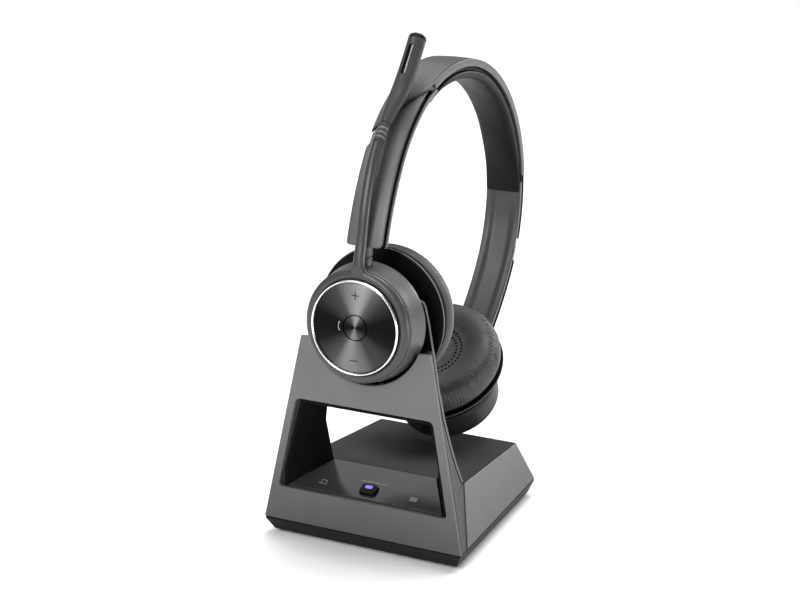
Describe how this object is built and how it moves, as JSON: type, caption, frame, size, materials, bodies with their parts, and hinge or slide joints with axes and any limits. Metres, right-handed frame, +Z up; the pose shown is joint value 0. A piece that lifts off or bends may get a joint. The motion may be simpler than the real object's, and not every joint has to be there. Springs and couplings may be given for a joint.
{
  "type": "office headset",
  "caption": "Wireless two-ear office headset with an adjustable headband, padded ear cups and a turning mic boom, docked upright in a wedge-shaped charging base with a see-through window.",
  "frame": {"origin": "centre of the whole outline at table height", "axes": "+Z up; -Y is the side the base's front panel and the docked ear cup face; +X to the base's right"},
  "size_m": [0.095, 0.1554, 0.2163],
  "materials": {
    "panel_satin": "satin, fine grain",
    "side_satin": "satin, fine grain",
    "deck_matte": "matte, fine grain",
    "black_matte": "matte black",
    "black_gloss": "high gloss",
    "shell_satin": "satin",
    "light_pipe": "frosted",
    "rubber_black": "moulded",
    "steel": "plain",
    "silver": "bright satin",
    "disc_metal": "lathe-turned, dark",
    "leatherette": "soft, fine grain",
    "brass": "plated",
    "board": "circuit board"
  },
  "bodies": {
    "base": {"plinth_tray": "black_matte", "foot_1": "rubber_black", "foot_2": "rubber_black", "foot_3": "rubber_black", "foot_4": "rubber_black", "ballast_plate": "steel", "dock_circuit_board": "board", "left_side_panel": "side_satin", "right_side_panel": "side_satin", "deck_cover": "deck_matte", "rear_panel": "deck_matte", "power_inlet": "black_matte", "usb_socket": "steel", "phone_socket": "black_matte", "cradle_frame": "deck_matte", "window_liner": "black_matte", "cradle_saddle": "black_matte", "charge_pin_left": "brass", "charge_pin_right": "brass", "back_panel": "panel_satin", "front_panel": "panel_satin", "touch_panel": "black_gloss", "status_light": "light_pipe"},
    "dock_button": {"dock_button": "black_matte"},
    "left_cup": {"left_housing": "shell_satin", "left_neck": "black_matte", "left_cushion_plate": "black_matte", "left_cushion": "leatherette", "left_speaker": "steel", "charge_contact_left": "brass", "charge_contact_right": "brass", "headset_circuit_board": "board", "silver_ring": "silver"},
    "volume_disc": {"volume_disc": "disc_metal"},
    "call_button": {"call_button": "disc_metal"},
    "boom": {"boom_arm": "shell_satin", "boom_grip": "rubber_black", "boom_tip": "shell_satin", "microphone_insert": "silver", "boom_end_cap": "black_matte"},
    "left_stem": {"left_stem": "steel"},
    "left_arm": {"left_arm_cover": "shell_satin", "left_arm_slider": "shell_satin", "left_arm_liner": "shell_satin"},
    "headband": {"headband_shell": "shell_satin", "headband_spring": "steel", "headband_carrier": "black_matte", "headband_pad": "leatherette"},
    "right_arm": {"right_arm_cover": "shell_satin", "right_arm_slider": "shell_satin", "right_arm_liner": "shell_satin"},
    "right_stem": {"right_stem": "steel"},
    "right_cup": {"right_housing": "shell_satin", "right_neck": "black_matte", "right_cushion_plate": "black_matte", "right_cushion": "leatherette", "right_speaker": "steel", "headset_battery": "steel", "right_cap": "shell_satin"},
    "power_switch": {"power_switch": "black_matte"}
  },
  "joints": [
    {"name": "lift_off", "type": "slide", "parent": "base", "child": "left_cup", "axis": [0, 0.0558, 0.9984], "range_m": [0, 0.06]},
    {"name": "left_swivel", "type": "hinge", "parent": "left_cup", "child": "left_stem", "pos_m": [0, -0.06405, 0.13661], "axis": [0, 0.0558, 0.9984], "range_deg": [-12, 12]},
    {"name": "left_tilt", "type": "hinge", "parent": "left_stem", "child": "left_arm", "pos_m": [0, -0.06405, 0.13661], "axis": [1, 0, 0], "range_deg": [-0.5, 1.2]},
    {"name": "left_extension", "type": "hinge", "parent": "left_arm", "child": "headband", "pos_m": [0, 0.00722, 0.13022], "axis": [-1, 0, 0], "range_deg": [-5.5, 8]},
    {"name": "right_extension", "type": "hinge", "parent": "headband", "child": "right_arm", "pos_m": [0, 0.00722, 0.13022], "axis": [-1, 0, 0], "range_deg": [-8, 1.5]},
    {"name": "right_tilt", "type": "hinge", "parent": "right_arm", "child": "right_stem", "pos_m": [0, 0.0415, 0.06741], "axis": [1, 0, 0], "range_deg": [-12, 0.8]},
    {"name": "right_swivel", "type": "hinge", "parent": "right_stem", "child": "right_cup", "pos_m": [0, 0.0415, 0.06741], "axis": [0, 0.8387, 0.5446], "range_deg": [-4, 4]},
    {"name": "boom_turn", "type": "hinge", "parent": "left_cup", "child": "boom", "pos_m": [0, -0.075, 0.10197], "axis": [0, 0.9984, -0.0558], "range_deg": [-120, 120]},
    {"name": "volume_rock", "type": "hinge", "parent": "left_cup", "child": "volume_disc", "pos_m": [0, -0.075, 0.10197], "axis": [1, 0, 0], "range_deg": [-2, 2], "stiffness_Nm_per_rad": 0.6},
    {"name": "call_press", "type": "slide", "parent": "left_cup", "child": "call_button", "axis": [0, 0.9984, -0.0558], "range_m": [0, 0.0006], "stiffness_N_per_m": 600, "springref_m": -0.0005},
    {"name": "dock_button_press", "type": "slide", "parent": "base", "child": "dock_button", "axis": [0, 0.3402, -0.9403], "range_m": [0, 0.0006], "stiffness_N_per_m": 600, "springref_m": -0.0005},
    {"name": "power_slide", "type": "slide", "parent": "right_cup", "child": "power_switch", "axis": [0, -0.5446, 0.8387], "range_m": [0, 0.0018]}
  ]
}
